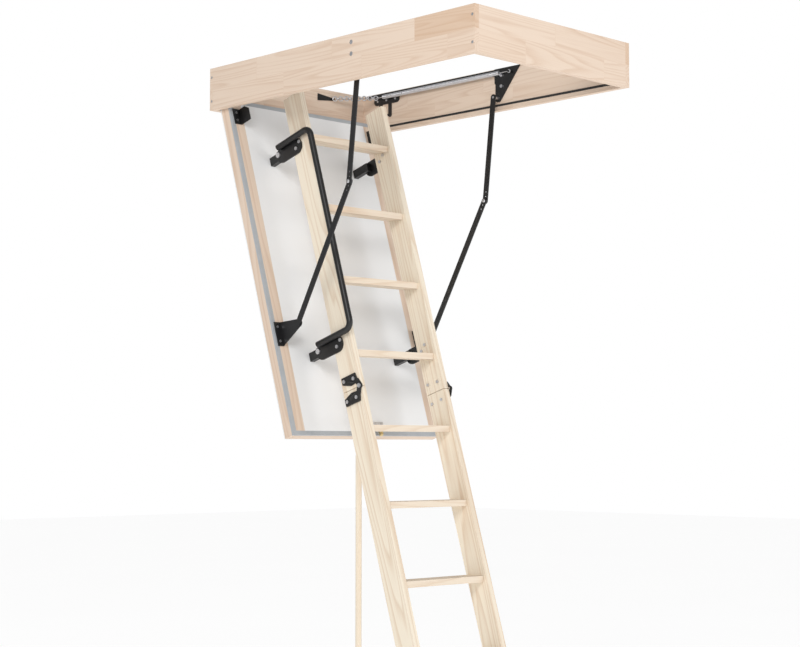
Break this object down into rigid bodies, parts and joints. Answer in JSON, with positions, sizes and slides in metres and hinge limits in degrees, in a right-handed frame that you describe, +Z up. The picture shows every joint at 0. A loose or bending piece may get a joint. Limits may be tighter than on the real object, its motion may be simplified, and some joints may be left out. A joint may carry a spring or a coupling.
{
  "type": "attic ladder",
  "caption": "Folding wooden attic ladder in three sections on an insulated hatch hung in a ceiling casing, with a handrail and an operating pole.",
  "frame": {"origin": "centre of the ceiling opening, level with the lower rim of the casing", "axes": "+Z up; the ladder hangs below; the climbing side faces -Y; treads run along X; the handrail is on the -X side"},
  "size_m": [0.7, 1.2, 2.84],
  "materials": {
    "pine": "planed pine",
    "pine_casing": "finger-jointed pine",
    "tread_pine": "planed pine",
    "black": "satin black powder coat",
    "zinc": "zinc plated",
    "white": "white",
    "core": "foam",
    "seal": "matt",
    "grey": "matt",
    "brass": "plain",
    "rail": "satin black"
  },
  "bodies": {
    "casing": {"casing_side_left": "pine_casing", "casing_side_right": "pine_casing", "casing_end_hinge": "pine_casing", "casing_end_free": "pine_casing", "corner_screws": "zinc", "casing_seal": "seal", "hinge_plate_left": "black", "hinge_plate_right": "black", "hatch_hinge_pins": "zinc", "arm_bracket_left": "black", "arm_bracket_right": "black", "casing_bolts": "zinc", "arm_pivot_pins": "zinc", "spring_left": "zinc", "spring_right": "zinc", "spring_anchors": "black", "spring_chains": "zinc", "latch_keeper": "zinc", "stiffeners": "black"},
    "hatch": {"hatch_rail_left": "pine", "hatch_rail_right": "pine", "hatch_rail_top": "pine", "hatch_rail_bottom": "pine", "hatch_core": "core", "hatch_room_skin": "white", "hatch_attic_skin": "white", "hatch_profile": "grey", "hatch_hinge_brackets": "black", "hatch_arm_brackets": "black", "hatch_screws": "zinc", "latch_plate": "zinc", "section_1_stile_left": "pine", "section_1_stile_right": "pine", "section_1_treads": "tread_pine", "ladder_brackets_left": "black", "ladder_brackets_right": "black", "ladder_spacers": "white", "handrail": "rail", "section_1_hinges": "black", "section_1_bolts": "zinc", "pole_eye": "zinc"},
    "section_2": {"section_2_stile_left": "pine", "section_2_stile_right": "pine", "section_2_treads": "tread_pine", "section_2_hinges_top": "black", "section_2_hinges_bottom": "black", "section_2_bolts": "zinc"},
    "section_3": {"section_3_stile_left": "pine", "section_3_stile_right": "pine", "section_3_treads": "tread_pine", "section_3_hinges": "black", "section_3_bolts": "zinc", "feet": "seal"},
    "upper_arm_left": {"upper_arm_left": "black"},
    "upper_arm_right": {"upper_arm_right": "black"},
    "lower_arm_left": {"lower_arm_left": "black"},
    "lower_arm_right": {"lower_arm_right": "black"},
    "latch_hook": {"latch_hook": "brass"},
    "pole": {"pole": "pine", "pole_hook": "zinc"}
  },
  "joints": [
    {"name": "hatch_fold", "type": "hinge", "parent": "casing", "child": "hatch", "pos_m": [0, 0.564, 0.009], "axis": [-1, 0, 0], "range_deg": [0, 58]},
    {"name": "ladder_fold", "type": "hinge", "parent": "hatch", "child": "section_2", "pos_m": [0, 0.03132, -0.91928], "axis": [-1, 0, 0], "range_deg": [0, 180]},
    {"name": "foot_fold", "type": "hinge", "parent": "section_2", "child": "section_3", "pos_m": [0, -0.17818, -1.89184], "axis": [1, 0, 0], "range_deg": [0, 181]},
    {"name": "upper_arm_swing_left", "type": "hinge", "parent": "casing", "child": "upper_arm_left", "pos_m": [-0.306, -0.07, 0.041], "axis": [-1, 0, 0], "range_deg": [0, 184]},
    {"name": "lower_arm_swing_left", "type": "hinge", "parent": "hatch", "child": "lower_arm_left", "pos_m": [-0.306, 0.20596, -0.72087], "axis": [1, 0, 0], "range_deg": [0, 11]},
    {"name": "upper_arm_swing_right", "type": "hinge", "parent": "casing", "child": "upper_arm_right", "pos_m": [0.306, -0.07, 0.041], "axis": [-1, 0, 0], "range_deg": [0, 184]},
    {"name": "lower_arm_swing_right", "type": "hinge", "parent": "hatch", "child": "lower_arm_right", "pos_m": [0.306, 0.20596, -0.72087], "axis": [1, 0, 0], "range_deg": [0, 11]},
    {"name": "latch_turn", "type": "hinge", "parent": "hatch", "child": "latch_hook", "pos_m": [0.035, 0.1874, -1.04495], "axis": [1, 0, 0], "range_deg": [0, 25]},
    {"name": "pole_swing", "type": "hinge", "parent": "hatch", "child": "pole", "pos_m": [-0.032, 0.21608, -1.09136], "axis": [1, 0, 0], "range_deg": [-15, 15]}
  ],
  "couplings": [
    {"joint": "foot_fold", "follows": "ladder_fold", "ratio": 1},
    {"joint": "upper_arm_swing_left", "follows": "hatch_fold", "ratio": 3.16},
    {"joint": "lower_arm_swing_left", "follows": "hatch_fold", "ratio": 0.16759},
    {"joint": "upper_arm_swing_right", "follows": "hatch_fold", "ratio": 3.16},
    {"joint": "lower_arm_swing_right", "follows": "hatch_fold", "ratio": 0.16759}
  ]
}
